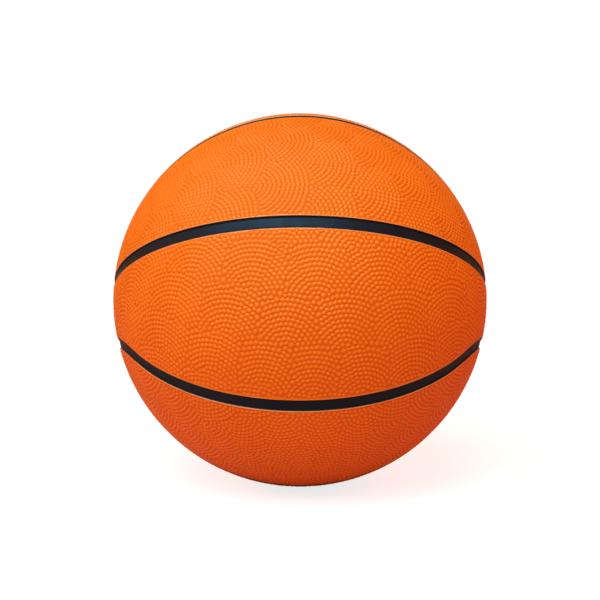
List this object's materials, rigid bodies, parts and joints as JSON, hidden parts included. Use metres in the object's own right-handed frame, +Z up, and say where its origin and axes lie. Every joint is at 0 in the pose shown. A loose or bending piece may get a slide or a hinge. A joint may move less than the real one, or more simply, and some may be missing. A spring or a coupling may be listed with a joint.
{
  "type": "basketball",
  "caption": "Moulded rubber basketball with pebbled panels, black channels, a bladder and a needle valve.",
  "frame": {"origin": "centre of the ball", "axes": "+Z up and -Y towards the front as pictured; +X along the line through the two points where the channels cross; the valve points up and back, 19.6 degrees from +Z towards +Y"},
  "size_m": [0.2226, 0.2228, 0.2228],
  "materials": {
    "panel_rubber": "satin",
    "channel_rubber": "satin",
    "bladder_rubber": "satin",
    "valve_rubber": "satin",
    "thread": "matte",
    "carcass_rubber": "matte"
  },
  "bodies": {
    "root": {"bladder": "bladder_rubber", "valve_patch": "bladder_rubber", "valve_housing": "valve_rubber", "valve_insert": "valve_rubber", "thread_winding": "thread", "carcass": "carcass_rubber", "belt_panel_front_upper": "panel_rubber", "belt_panel_front_lower": "panel_rubber", "belt_panel_back_upper": "panel_rubber", "belt_panel_back_lower": "panel_rubber", "cap_panel_top_front": "panel_rubber", "cap_panel_top_back": "panel_rubber", "cap_panel_bottom_front": "panel_rubber", "cap_panel_bottom_back": "panel_rubber", "equator_channel": "channel_rubber", "top_loop_channel": "channel_rubber", "bottom_loop_channel": "channel_rubber", "meridian_channel_top": "channel_rubber", "meridian_channel_bottom": "channel_rubber", "meridian_channel_right_upper": "channel_rubber", "meridian_channel_right_lower": "channel_rubber", "meridian_channel_left_upper": "channel_rubber", "meridian_channel_left_lower": "channel_rubber"}
  },
  "joints": []
}
